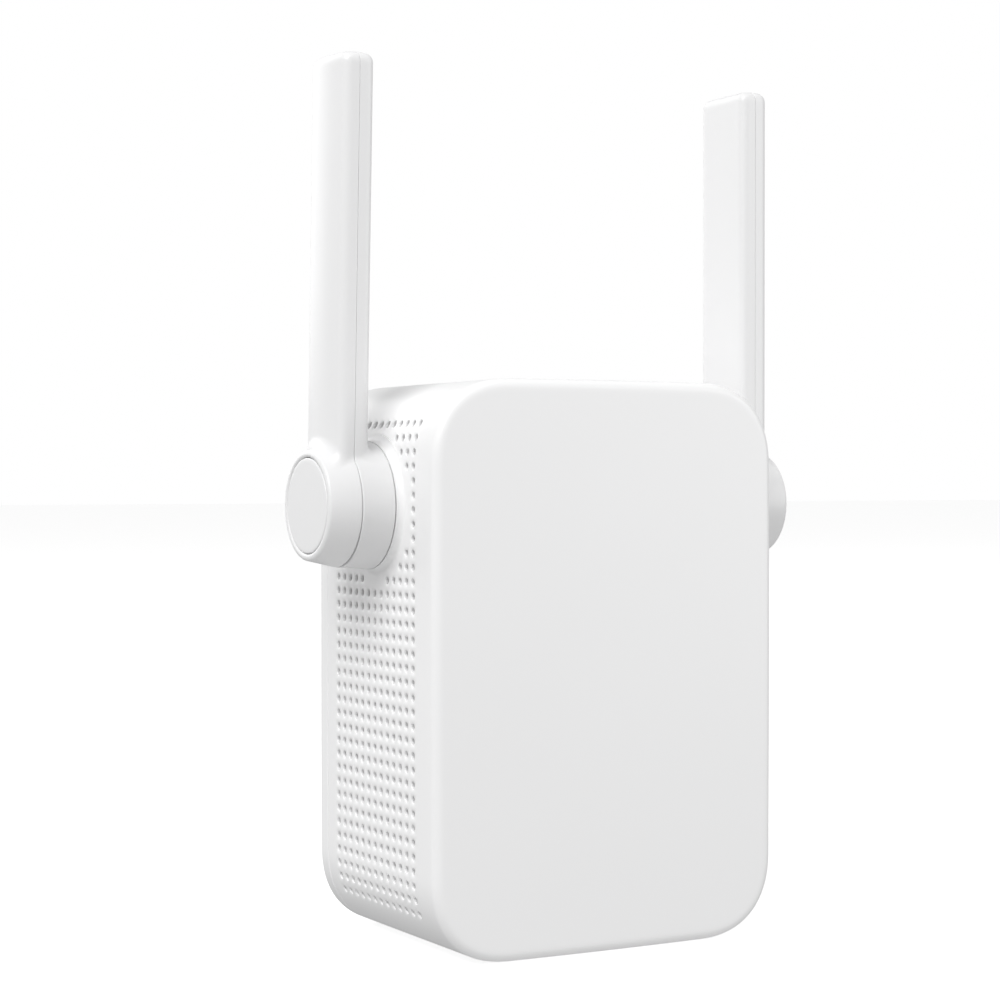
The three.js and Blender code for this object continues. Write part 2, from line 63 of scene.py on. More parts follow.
# ------------------------------------------------------------------ sizes taken from the frame
REAR_LOW, REAR_HIGH = box_mm("rear_cover")
COVER_LOW, COVER_HIGH = box_mm("front_cover")
SIDE, TOP, BOTTOM = REAR_HIGH[0], REAR_HIGH[2], REAR_LOW[2]
MIDDLE_Z, HALF_HEIGHT = (TOP + BOTTOM) / 2, (TOP - BOTTOM) / 2
DEPTH = -COVER_LOW[1]
GAP = 0.3
COVER_SEAM, REAR_SEAM = COVER_HIGH[1], COVER_HIGH[1] + GAP
HINGES = {joint["child"]: np.array(joint["pos_m"]) / MM
          for joint in frame["joints"] if joint["type"] == "hinge"}
HINGE_Y, HINGE_Z = HINGES["antenna_right"][1:]
LEAN = {"antenna_left": radians(2), "antenna_right": 0.0}

# ------------------------------------------------------------------ the covers
WALL = 2.0
SEAM_TRIM = 0.08  # each cover reaches this far into the gap between them
SEAM_CHAMFER = 0.1
CORNER, CORNER_POWER = 12.0, 2.35  # superellipse corners
BOW = np.array([0.15, 0.25])  # how far the long edges bulge in x and z
CORNER_STEPS, FLAT_STEPS = 22, 18
FRONT_EDGE, REAR_EDGE = 1.3, 0.8
VENT = {
    "pitch": 2.0, "rows": 35, "columns": 13, "front_y": HINGE_Y - 12, "raise": 0.17,
    "split": 4,  # grid cells along each side of one vent's square
    "keep_off_hinge": 10.97, "keep_off_drop": 0.15,  # radius round the hinge, and its centre's drop
}
PANEL = {"ahead": 2.5, "behind": 2, "below": 3, "above": 2}  # vent-free margins of the right-hand wall
VENT_LEVELS = [  # radius of the hole at each depth in the wall
    (0.62, 0.0), (0.57, 0.03), (0.52, 0.12), (0.49, 0.3), (0.49, 0.6), (0.88, 1.0), (0.93, WALL),
]
FLARE = {"wall": 10.2, "top": 9.1, "height": 1.1}  # the raised ring round each hinge
POSTS = [(x, z) for x in (-19.5, 19.5) for z in (TOP - 8.5, BOTTOM + 8.5)]
BUTTON = {"hole": (9.6, 5.6), "face": (9, 5), "edge": 0.45,
          "dish": 1.9, "dish_depth": 0.25, "dish_curve": 11, "dish_stretch": 1.9}
SLOT_GAP, LABEL_GAP, LABEL_DEPTH = 0.12, 0.4, 0.6

# Turned shapes, as (distance along the axis, radius).
SCREW_POST = [(WALL - DEPTH - 0.5, 2.6), (-5.5, 2.6)]
SCREW_PILOT = [(-14, 1.4), (0, 1.4)]
REAR_BOSS = [(-5.2, 4.2), (-1, 4.2)]
SCREW_WELL = [(-8, 1.5), (-2.2, 1.5), (-2.2, 2.4), (-0.35, 2.4), (0, 2.75), (1, 2.75)]
HINGE_BORE = [(-4, 3.15), (4, 3.15)]
RESET_HOLE = [(-3, 0.8), (-0.25, 0.8), (0.1, 1.15), (1, 1.15)]
LAMP_HOLE = [(-3, 1.1), (1, 1.1)]
LAMPS, LAMP_MARGIN = 4, 1.2

# ------------------------------------------------------------------ the antennas, x outwards from the wall
HUB = {"start": 1.22, "seam": 6.1, "end": 10.85, "root": 9.05, "middle": 8.75, "rim": 7.7,
       "edge": 0.5, "start_edge": 0.12}
PADDLE = {"inner": 3.75, "outer": 8.95, "crown": 0.022, "half_width": 5.7, "tip": 63.1,
          "edge": 1.2, "tip_edge": 1.6}
FILLET = {"reach": 1.75, "fade": 1.1, "most": 0.65}  # shrinks where the paddle's corners graze the hub
PARTING = {"height": [-8, -3, 4, 11], "gap": [0.3, 0.08, 0.07, 0.02], "round": [0.16, 0.16, 0.14, 0.08]}
HOLLOW = {"slot_x": 5.95, "slot_half": (1.35, 4.2), "tip_wall": 1.6,
          "drum": 6.4, "drum_x": 5.8, "drum_half": 2.5}
SPIGOT = {"radius": 2.85, "bore": 1.3, "middle": -2, "half": 4}
END_CAP = {"radius": 6.72, "start": 9.6, "face": 10.7, "edge": 0.18,
           "well": 6.8, "well_floor": 9.3, "well_edge": 0.3}
GRID = {"reach": 9.75, "fine": 0.25, "hub_x": 0.22, "fine_to": 15, "paddle": 1.0, "tip_from": 60, "tip": 0.2}

# ------------------------------------------------------------------ plug, socket and screws
BLADE = {"corner": 1.6, "shoulder": -7.9, "tail": 1.5, "hole": 1.6, "hole_from_tip": 4, "edge": 0.22}
SOCKET = {"half_width": 5.95, "lip": 1.3, "top": 4.7, "latch_half": 3.2, "latch_top": 2.3,
          "depth": 14, "edge": 0.2}
SCREW = {"head": 2.05, "dome": 0.8, "seat": -1.9, "thread": 1.05, "tip": 0.3, "point": 1.2,
         "cross": 1.15, "cross_half": 0.24, "cross_depth": 1.0, "cross_taper": 0.6}

# ------------------------------------------------------------------ studio
SKY = [(-1.0, 0.95), (-0.65, 0.5), (-0.3, 0.27), (0.0, 0.72), (0.4, 0.56), (1.0, 0.44)]  # height, level
SKY_STRENGTH = 1.04
SOFTBOXES = {  # place in metres, side in metres, watts
    "key": ((-0.73, -0.44, 0.84), 0.8, 10.8),
    "fill": ((0.95, -0.85, 0.25), 0.8, 4.3),
    "back": ((-0.3, 1.1, 0.45), 0.8, 3.0),
}
FLOOR_REACH = 6000
CAMERA = {"lens": 83.46, "left": 145.1, "ahead": 297.1, "above": 3.45, "down_deg": 0.466, "turn_deg": -29.11}


# ------------------------------------------------------------------ mesh helpers
def bare(name, points, faces):
    """A mesh object from millimetre points: a piece before it is finished, or a cutter."""
    mesh = bpy.data.meshes.new(name)
    mesh.from_pydata((np.asarray(points, float) * MM).tolist(), [], faces)
    made = bpy.data.objects.new(name, mesh)
    bpy.context.scene.collection.objects.link(made)
    return made


def finish_piece(piece, material, body, stands_for, sharp=35):
    """Smooth shading and a material; the piece then rides on its body in the CAD node's place."""
    piece.data.polygons.foreach_set("use_smooth", [True] * len(piece.data.polygons))
    piece.data.set_sharp_from_angle(angle=radians(sharp))
    piece.data.update()
    piece.data.materials.clear()
    piece.data.materials.append(material)
    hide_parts(stands_for)
    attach(piece, body)


def combine(piece, tools, operation):
    """Joins the tool meshes into one and unites it with the piece, or cuts it from the piece."""
    tool = tools[0] if len(tools) == 1 else join(tools)
    modifier = piece.modifiers.new(operation.lower(), "BOOLEAN")
    modifier.operation = operation
    modifier.solver = "MANIFOLD"
    modifier.object = tool
    apply_modifiers(piece)
    bpy.data.objects.remove(tool)


def join(objects):
    with bpy.context.temp_override(active_object=objects[0], selected_editable_objects=objects):
        bpy.ops.object.join()
    return objects[0]


def bevel(piece, width, segments=2, angle=40):
    modifier = piece.modifiers.new("bevel", "BEVEL")
    modifier.width = width * MM
    modifier.segments = segments
    modifier.limit_method = "ANGLE"
    modifier.angle_limit = radians(angle)
    apply_modifiers(piece)


def apply_modifiers(piece):
    graph = bpy.context.evaluated_depsgraph_get()
    graph.update()
    result = bpy.data.meshes.new_from_object(piece.evaluated_get(graph))
    old = piece.data
    piece.modifiers.clear()
    piece.data = result
    bpy.data.meshes.remove(old)


def ring_faces(rings, count):
    """Quads between successive rings of `count` points, and a cap at each end."""
    faces = []
    for r in range(rings - 1):
        here, there = r * count, (r + 1) * count
        for i in range(count):
            j = (i + 1) % count
            faces.append((here + i, here + j, there + j, there + i))
    faces.append(tuple(reversed(range(count))))
    faces.append(tuple(range((rings - 1) * count, rings * count)))
    return faces


def turned(profile, axis, centre=(0, 0, 0), count=96, flip=False):
    """Points and faces of a (distance along axis, radius) profile turned about X or Y."""
    angles = np.arange(count) * 2 * pi / count
    points = []
    for along, radius in profile:
        ring_a, ring_b = radius * np.cos(angles), radius * np.sin(angles)
        level = np.full(count, -along if flip else along)
        ring = {"X": (level, ring_a, ring_b), "Y": (ring_b, level, ring_a)}[axis]
        points.append(np.stack(ring, 1) + centre)
    faces = ring_faces(len(profile), count)
    if flip:
        faces = [tuple(reversed(face)) for face in faces]
    return np.concatenate(points), faces


def slab(low, high):
    """Points and faces of a box between two corners."""
    (x0, y0, z0), (x1, y1, z1) = low, high
    points = [(x0, y0, z0), (x1, y0, z0), (x1, y1, z0), (x0, y1, z0)]
    points += [(x, y, z1) for x, y, _ in points]
    return points, ring_faces(2, 4)


def tapered_pit(centre_x, centre_z, floor, mouth):
    """Points and faces of a pit along Y; its floor and mouth are each (y, half width, half height)."""
    points = []
    for up in (-1, 1):
        for across, (y, half_x, half_z) in ((-1, floor), (1, floor), (1, mouth), (-1, mouth)):
            points.append((centre_x + across * half_x, y, centre_z + up * half_z))
    return points, ring_faces(2, 4)


def oval(length, width, x0, x1, centre_y, centre_z, edge=0.0, count=64):
    """Points and faces of an upright oval button shape along X, its far edge rounded by edge."""
    angles = np.arange(count) * 2 * pi / count
    radius, straight = width / 2, (length - width) / 2
    profile = [(0, x0), (0, x1)]
    if edge:
        profile[1:] = [(edge * (1 - cos(a)), x1 - edge + edge * sin(a)) for a in np.linspace(0, pi / 2, 9)]
    points = []
    for inset, x in profile:
        ys = (radius - inset) * np.cos(angles)
        zs = (radius - inset) * np.sin(angles) + straight * np.sign(np.sin(angles).round(6))
        points.append(np.stack([np.full(count, x), centre_y + ys, centre_z + zs], 1))
    return np.concatenate(points), ring_faces(len(points), count)


# ------------------------------------------------------------------ materials
DRIFT_SCALE, ROUGHNESS_SPREAD, GRAIN_HEIGHT_M = 45.0, 0.12, 0.00005


def material(name, color, roughness, metallic=0.0, grain=900.0, bump=0.02, drift=0.02,
             stretch=(1, 1, 1), **sockets):
    """A moulded or machined surface: fine grain in the bump, broad drift in colour and roughness."""
    made = bpy.data.materials.new(name)
    made.use_nodes = True
    nodes, links = made.node_tree.nodes, made.node_tree.links
    shader = nodes["Principled BSDF"]
    shader.inputs["Metallic"].default_value = metallic
    for socket, value in sockets.items():
        shader.inputs[socket.replace("_", " ")].default_value = value
    place = nodes.new("ShaderNodeTexCoord")
    scale = nodes.new("ShaderNodeMapping")
    scale.inputs["Scale"].default_value = stretch
    links.new(place.outputs["Object"], scale.inputs["Vector"])

    def noise(size, detail):
        texture = nodes.new("ShaderNodeTexNoise")
        texture.inputs["Scale"].default_value = size
        texture.inputs["Detail"].default_value = detail
        links.new(scale.outputs["Vector"], texture.inputs["Vector"])
        return texture.outputs["Fac"]

    broad, fine = noise(DRIFT_SCALE, 3.0), noise(grain, 4.0)

    tint = nodes.new("ShaderNodeMix")
    tint.data_type = "RGBA"
    tint.inputs["A"].default_value = (*[channel * (1 - drift) for channel in color], 1)
    tint.inputs["B"].default_value = (*[min(1, channel * (1 + drift)) for channel in color], 1)
    links.new(broad, tint.inputs["Factor"])
    links.new(tint.outputs["Result"], shader.inputs["Base Color"])

    worn = nodes.new("ShaderNodeMapRange")
    worn.inputs["To Min"].default_value = roughness * (1 - ROUGHNESS_SPREAD)
    worn.inputs["To Max"].default_value = roughness * (1 + ROUGHNESS_SPREAD)
    links.new(fine, worn.inputs["Value"])
    links.new(worn.outputs["Result"], shader.inputs["Roughness"])

    relief = nodes.new("ShaderNodeBump")
    relief.inputs["Strength"].default_value = bump
    relief.inputs["Distance"].default_value = GRAIN_HEIGHT_M
    links.new(fine, relief.inputs["Height"])
    links.new(relief.outputs["Normal"], shader.inputs["Normal"])
    return made


def circuit_board_material():
    """Green solder mask over a maze of copper tracks, from a brick pattern."""
    made = material("solder_mask", (0.03, 0.16, 0.08), 0.35, grain=1500, bump=0.03, Coat_Weight=0.4)
    nodes, links = made.node_tree.nodes, made.node_tree.links
    shader = nodes["Principled BSDF"]
    base = shader.inputs["Base Color"].links[0].from_socket
    tracks = nodes.new("ShaderNodeTexBrick")
    tracks.inputs["Scale"].default_value = 180.0
    tracks.inputs["Mortar Size"].default_value = 0.06
    tracks.inputs["Color1"].default_value = (0, 0, 0, 1)
    tracks.inputs["Color2"].default_value = (0, 0, 0, 1)
    tracks.inputs["Mortar"].default_value = (1, 1, 1, 1)
    turn = nodes.new("ShaderNodeMapping")
    turn.inputs["Rotation"].default_value = (pi / 2, 0, 0)
    place = nodes.new("ShaderNodeTexCoord")
    links.new(place.outputs["Object"], turn.inputs["Vector"])
    links.new(turn.outputs["Vector"], tracks.inputs["Vector"])
    mix = nodes.new("ShaderNodeMix")
    mix.data_type = "RGBA"
    mix.inputs["B"].default_value = (0.05, 0.27, 0.13, 1)
    links.new(tracks.outputs["Color"], mix.inputs["Factor"])
    links.new(base, mix.inputs["A"])
    links.new(mix.outputs["Result"], shader.inputs["Base Color"])
    return made


WHITE = material("white_shell", (0.88, 0.88, 0.882), 0.3, grain=2600, bump=0.05, drift=0.006)
ANTENNA = material("white_antenna", (0.80, 0.80, 0.803), 0.32, grain=2600, bump=0.06, drift=0.006)
BLACK = material("black_plastic", (0.02, 0.02, 0.022), 0.42, grain=2200, bump=0.15, drift=0.1)
NICKEL = material("nickel_plate", (0.72, 0.69, 0.63), 0.22, 1.0, grain=700, bump=0.08, stretch=(1, 12, 1))
GOLD = material("gold_plate", (0.86, 0.62, 0.28), 0.2, 1.0, grain=1200, bump=0.05)
STEEL = material("steel", (0.56, 0.57, 0.58), 0.32, 1.0, grain=1600, bump=0.1)
COPPER = material("enamelled_wire", (0.62, 0.28, 0.12), 0.3, 1.0, grain=900, bump=0.4, stretch=(1, 1, 8))
FERRITE = material("ferrite", (0.035, 0.035, 0.04), 0.7, grain=1800, bump=0.5, drift=0.15)
SLEEVE = material("capacitor_sleeve", (0.02, 0.03, 0.07), 0.28, grain=400, bump=0.05, drift=0.1)
CLEAR = material("light_guide", (0.82, 0.86, 0.88), 0.25, grain=1500, bump=0.1, Transmission_Weight=0.25)
LABEL = material("paper_label", (0.72, 0.72, 0.71), 0.62, grain=5000, bump=0.25, drift=0.02)
BOARD = circuit_board_material()


# ------------------------------------------------------------------ the body's outline
def outline():
    """Points (x, z) and outward normals round the body, with even steps beside the vent fields."""
    straight_x, straight_z = SIDE - CORNER, HALF_HEIGHT - CORNER
    reach = VENT["rows"] * VENT["pitch"] / 2
    heights = np.linspace(-reach, reach, VENT["rows"] * VENT["split"] + 1) + VENT["raise"]

    def past(height):
        return np.maximum(np.abs(height) - straight_z, 0) / CORNER

    def corner(from_height):
        angles = np.linspace(asin(past(from_height) ** (CORNER_POWER / 2)), pi / 2, CORNER_STEPS)[1:]
        return np.stack([straight_x + CORNER * np.cos(angles).clip(0) ** (2 / CORNER_POWER),
                         straight_z + CORNER * np.sin(angles) ** (2 / CORNER_POWER)], 1)

    side_x = straight_x + CORNER * (1 - past(heights) ** CORNER_POWER) ** (1 / CORNER_POWER)
    side = np.stack([side_x, heights], 1)
    upper, lower = corner(heights[-1]), corner(-heights[0])
    flat_x = np.linspace(straight_x, -straight_x, FLAT_STEPS)[1:-1]
    flat = np.stack([flat_x, np.full(len(flat_x), HALF_HEIGHT)], 1)
    right = [side, upper, flat, upper[::-1] * (-1, 1)]
    left = [side[::-1] * (-1, 1), lower * (-1, -1), flat * (-1, -1), lower[::-1] * (1, -1)]
    points = np.concatenate(right + left)
    middle = 1 - (points / (SIDE, HALF_HEIGHT)) ** 2
    points += np.sign(points) * middle[:, ::-1].clip(0) * BOW * (1 - middle).clip(0) ** 2
    along = np.roll(points, -1, 0) - np.roll(points, 1, 0)
    normals = np.stack([along[:, 1], -along[:, 0]], 1)
    normals /= np.linalg.norm(normals, axis=1)[:, None]
    return points + (0, MIDDLE_Z), normals, sum(map(len, right))


OUTLINE, NORMALS, HALF_TURN = outline()


def loop_at(inset, y):
    """The outline moved inwards by inset, at depth y."""
    flat = OUTLINE - NORMALS * inset
    return np.stack([flat[:, 0], np.full(len(flat), y), flat[:, 1]], 1)


def rounded(radius, y_from, towards, steps=6):
    """(inset, y) steps of a quarter-round edge that starts on the side wall at y_from."""
    angles = np.linspace(0, pi / 2, steps + 1)
    return [(radius * (1 - cos(a)), y_from + towards * radius * sin(a)) for a in angles]


# ------------------------------------------------------------------ front cover
def vent_allowed(side, y, z):
    """Vents keep off the hinge and, on the right-hand wall, off the lamps, button and reset hole."""
    from_hinge = (y - HINGE_Y) ** 2 + (z - HINGE_Z + VENT["keep_off_drop"]) ** 2
    if from_hinge < VENT["keep_off_hinge"] ** 2:
        return False
    _, button_high = box_mm("wps_button_cap")
    reset_low, _ = box_mm("reset_switch_plunger")
    lamps_low, lamps_high = box_mm("light_guide")
    in_width = lamps_low[1] - PANEL["ahead"] < y < button_high[1] + PANEL["behind"]
    in_height = reset_low[2] - PANEL["below"] < z < lamps_high[2] + PANEL["above"]
    return side < 0 or not (in_width and in_height)


def cover_mesh():
    """The front cover's walls as one closed mesh whose side walls carry real, bevelled vent holes."""
    pitch, split, rows, columns = (VENT[key] for key in ("pitch", "split", "rows", "columns"))
    first_y = VENT["front_y"] - pitch / 2
    last_y = first_y + columns * pitch
    vent_ys = np.linspace(last_y, first_y, columns * split + 1)
    turn_y = FRONT_EDGE - DEPTH
    rim_y = COVER_SEAM + SEAM_TRIM
    # The grid's steps from the rim to the front edge; a few more lie beside the vents to hold the walls flat.
    ys = [rim_y - SEAM_CHAMFER, rim_y - 0.6, *vent_ys, first_y - 1.5, turn_y + 1.2]
    outer = [(SEAM_CHAMFER, rim_y)] + [(0, y) for y in ys] + rounded(FRONT_EDGE, turn_y, -1)
    outer.append((FRONT_EDGE + 0.5, -DEPTH))
    inner = [(WALL, rim_y)] + [(WALL, y) for y in ys] + [(WALL, WALL - DEPTH)]
    count = len(OUTLINE)
    points = list(map(tuple, np.concatenate([loop_at(*step) for step in outer + inner])))

    def at(level, column, i):
        """Index of a grid point, on the outer (0) or inner (1) skin."""
        return (level * len(outer) + column) * count + i % count

    def wall_face(level, column, i):
        a, b = at(level, column, i), at(level, column, i + 1)
        c, d = at(level, column + 1, i + 1), at(level, column + 1, i)
        return (a, d, c, b) if level else (a, b, c, d)

    vent_column = ys.index(vent_ys[0]) + 1
    taken = set()
    faces = []
    for side, base, step in ((1, 0, 1), (-1, HALF_TURN + rows * split, -1)):
        for row in range(rows):
            z = MIDDLE_Z + (row - (rows - 1) / 2) * pitch + VENT["raise"]
            corner_i = base + step * row * split
            low_i = corner_i if step > 0 else corner_i - split
            for column in range(columns):
                if not vent_allowed(side, last_y - (column + 0.5) * pitch, z):
                    continue
                corner_c = vent_column + column * split
                faces += vent_hole(points, at, corner_i, corner_c, step)
                taken |= {(corner_c + c, (low_i + i) % count) for c in range(split) for i in range(split)}
    for level, steps in enumerate((outer, inner)):
        for column in range(len(steps) - 1):
            faces += [wall_face(level, column, i) for i in range(count) if (column, i) not in taken]
    faces += [(at(0, 0, i + 1), at(0, 0, i), at(1, 0, i), at(1, 0, i + 1)) for i in range(count)]
    faces.append(tuple(at(0, len(outer) - 1, i) for i in range(count)))
    faces.append(tuple(at(1, len(inner) - 1, i) for i in reversed(range(count))))
    used = sorted({index for face in faces for index in face})
    renumbered = {old: new for new, old in enumerate(used)}
    return [points[index] for index in used], [tuple(renumbered[index] for index in face) for face in faces]


def vent_hole(points, at, corner_i, corner_c, step):
    """One round hole through the wall, in the square of grid cells that starts at that corner."""
    split = VENT["split"]
    half = split // 2
    walk = [(split, half + k) for k in range(half)] + [(split - k, split) for k in range(split)]
    walk += [(0, split - k) for k in range(split)] + [(k, 0) for k in range(split)]
    walk += [(split, k) for k in range(half)]
    outer = [at(0, corner_c + c, corner_i + step * i) for c, i in walk]
    inner = [at(1, corner_c + c, corner_i + step * i) for c, i in walk]
    square = np.array([points[index] for index in outer])
    back = np.array([points[index] for index in inner])
    centre = square.mean(0)
    across = square[0] - centre
    across /= np.linalg.norm(across)
    inward = back.mean(0) - centre
    inward /= np.linalg.norm(inward)
    up = np.cross(inward, across)
    if np.dot(up, square[split] - centre) < 0:
        up = -up
    angles = np.arange(len(walk)) * 2 * pi / len(walk)
    rings = [outer]
    for radius, depth in VENT_LEVELS:
        first = len(points)
        rim = np.cos(angles)[:, None] * across + np.sin(angles)[:, None] * up
        points.extend(map(tuple, centre + inward * depth + radius * rim))
        rings.append(list(range(first, first + len(walk))))
    rings.append(inner)
    faces = []
    for here, there in zip(rings, rings[1:]):
        for k in range(len(walk)):
            j = (k + 1) % len(walk)
            face = (here[k], there[k], there[j], here[j])
            faces.append(face if step > 0 else face[::-1])
    return faces


def lamp_centres():
    low, high = box_mm("light_guide")
    zs = np.linspace(high[2] - LAMP_MARGIN, low[2] + LAMP_MARGIN, LAMPS)
    return [(SIDE, (low[1] + high[1]) / 2, z) for z in zs]


def build_front_cover():
    cover = bare("front_cover_shell", *cover_mesh())
    hinges = [(side, (side * SIDE, HINGE_Y, HINGE_Z)) for side in (-1, 1)]
    fillet = FLARE["wall"] - FLARE["top"]
    flare = [(-1.6, FLARE["wall"])]
    flare += [(FLARE["height"] * (1 - cos(a)), FLARE["wall"] - fillet * sin(a))
              for a in np.linspace(0, pi / 2, 9)]
    flare += [(FLARE["height"], FLARE["top"] - 0.1)]
    add = [bare("flare", *turned(flare, "X", centre, count=128, flip=side < 0)) for side, centre in hinges]
    add += [bare("post", *turned(SCREW_POST, "Y", (x, 0, z), count=32)) for x, z in POSTS]
    combine(cover, add, "UNION")

    cut = [bare("bore", *turned(HINGE_BORE, "X", centre, count=48)) for _, centre in hinges]
    cut += [bare("pilot", *turned(SCREW_PILOT, "Y", (x, 0, z), count=24)) for x, z in POSTS]
    button_low, button_high = box_mm("wps_button_cap")
    button_y, button_z = (button_low[1:] + button_high[1:]) / 2
    cut.append(bare("button_hole", *oval(*BUTTON["hole"], SIDE - 3, SIDE + 1, button_y, button_z)))
    reset_low, reset_high = box_mm("reset_switch_plunger")
    reset = (SIDE, *(reset_low[1:] + reset_high[1:]) / 2)
    cut.append(bare("reset_hole", *turned(RESET_HOLE, "X", reset, count=32)))
    cut += [bare("lamp_hole", *turned(LAMP_HOLE, "X", centre, count=32)) for centre in lamp_centres()]
    jack_low, jack_high = box_mm("ethernet_jack")
    mouth_high = (*(jack_high + GAP)[:2], BOTTOM + 3)
    cut.append(bare("socket_hole", *slab(jack_low - (GAP, GAP, 2), mouth_high)))
    combine(cover, cut, "DIFFERENCE")
    finish_piece(cover, WHITE, "housing", "front_cover", sharp=32)


# ------------------------------------------------------------------ rear cover
def build_rear_cover():
    lip = WALL + GAP  # inset of the lip that reaches into the front cover
    rim_y = REAR_SEAM - SEAM_TRIM
    end_y = REAR_LOW[1]
    profile = [(lip + 1.2, -WALL), (lip + 1.2, end_y), (lip + 0.2, end_y), (lip, end_y + 0.4)]
    profile += [(lip, rim_y), (SEAM_CHAMFER, rim_y), (0, rim_y + SEAM_CHAMFER), (0, -REAR_EDGE - 0.5)]
    profile += rounded(REAR_EDGE, -REAR_EDGE, 1) + [(REAR_EDGE + 0.6, 0)]
    points = np.concatenate([loop_at(*step) for step in profile])
    faces = [face[::-1] for face in ring_faces(len(profile), len(OUTLINE))]
    cover = bare("rear_cover_shell", points, faces)
    combine(cover, [bare("boss", *turned(REAR_BOSS, "Y", (x, 0, z), count=48)) for x, z in POSTS], "UNION")

    cut = [bare("well", *turned(SCREW_WELL, "Y", (x, 0, z), count=48)) for x, z in POSTS]
    for node in ("plug_blade_left", "plug_blade_right"):
        low, high = box_mm(node)
        cut.append(bare("slot", *slab((low[0] - SLOT_GAP, -8, low[2] - SLOT_GAP),
                                      (high[0] + SLOT_GAP, 2, high[2] + SLOT_GAP))))
    low, high = box_mm("rating_label")
    cut.append(bare("label_bed", *slab((low[0] - LABEL_GAP, -LABEL_DEPTH, low[2] - LABEL_GAP),
                                       (high[0] + LABEL_GAP, 1, high[2] + LABEL_GAP))))
    combine(cover, cut, "DIFFERENCE")
    finish_piece(cover, WHITE, "housing", "rear_cover", sharp=32)


# ------------------------------------------------------------------ antennas, from smooth distance fields
def smooth_min(a, b, reach):
    """The union of two distance fields, with a fillet about `reach` wide between them."""
    mix = np.clip(0.5 + 0.5 * (b - a) / reach, 0, 1)
    return b + (a - b) * mix - reach * mix * (1 - mix)


def smooth_max(a, b, reach):
    return -smooth_min(-a, -b, reach)


def antenna_field(x, y, z):
    """Distance to the antenna's outer skin; x runs outwards from the body's side wall."""
    radius = np.hypot(y, z)
    rise = np.clip((x - HUB["seam"]) / (HUB["end"] - HUB["seam"]), 0, 1)
    root = np.clip((HUB["seam"] - x) / (HUB["seam"] - HUB["start"]), 0, 1.5)
    barrel = HUB["middle"] - (HUB["middle"] - HUB["rim"]) * rise + (HUB["root"] - HUB["middle"]) * root
    hub = smooth_max(radius - barrel, x - HUB["end"], HUB["edge"])
    broad = np.maximum(x - PADDLE["outer"] + PADDLE["crown"] * y**2, PADDLE["inner"] - x)
    narrow = np.abs(y) - PADDLE["half_width"]
    paddle = smooth_max(broad, narrow, PADDLE["edge"])
    paddle = smooth_max(paddle, z - PADDLE["tip"], PADDLE["tip_edge"])
    paddle = np.maximum(paddle, -z)
    at_corner = np.clip(0.5 + (narrow - broad) / (2 * PADDLE["edge"]), 0, 1)
    grazing = at_corner * np.abs(y) / np.maximum(radius, 1)
    fillet = FILLET["reach"] * (1 - FILLET["fade"] * np.minimum(grazing, FILLET["most"]))
    joined = smooth_max(smooth_min(hub, paddle, fillet), x - HUB["end"], HUB["edge"])
    return smooth_max(joined, HUB["start"] - x, HUB["start_edge"])


def hollow_field(x, y, z):
    """The space inside the two shells for the radiator and the hub screws."""
    half_x, half_y = HOLLOW["slot_half"]
    slot = np.maximum(np.abs(x - HOLLOW["slot_x"]) - half_x, np.abs(y) - half_y)
    slot = np.maximum(slot, np.maximum(z - PADDLE["tip"] + HOLLOW["tip_wall"], -z))
    drum = np.maximum(np.hypot(y, z) - HOLLOW["drum"], np.abs(x - HOLLOW["drum_x"]) - HOLLOW["drum_half"])
    return np.minimum(slot, drum)


def seam_cut(skin, side, z):
    """Cut a skin off at the parting plane; the gap and its rounding are widest under the hub."""
    gap = np.interp(z, PARTING["height"], PARTING["gap"])
    return smooth_max(skin, side + gap / 2, np.interp(z, PARTING["height"], PARTING["round"]))


def outer_shell_field(x, y, z):
    well = np.maximum(np.hypot(y, z) - END_CAP["well"], END_CAP["well_floor"] - x)
    skin = smooth_max(antenna_field(x, y, z), -well, END_CAP["well_edge"])
    return np.maximum(seam_cut(skin, HUB["seam"] - x, z), -hollow_field(x, y, z))


def inner_shell_field(x, y, z):
    skin = seam_cut(antenna_field(x, y, z), x - HUB["seam"], z)
    skin = np.maximum(skin, -hollow_field(x, y, z))
    spigot = np.maximum(np.hypot(y, z) - SPIGOT["radius"], np.abs(x - SPIGOT["middle"]) - SPIGOT["half"])
    return np.maximum(np.minimum(skin, spigot), SPIGOT["bore"] - np.hypot(y, z))


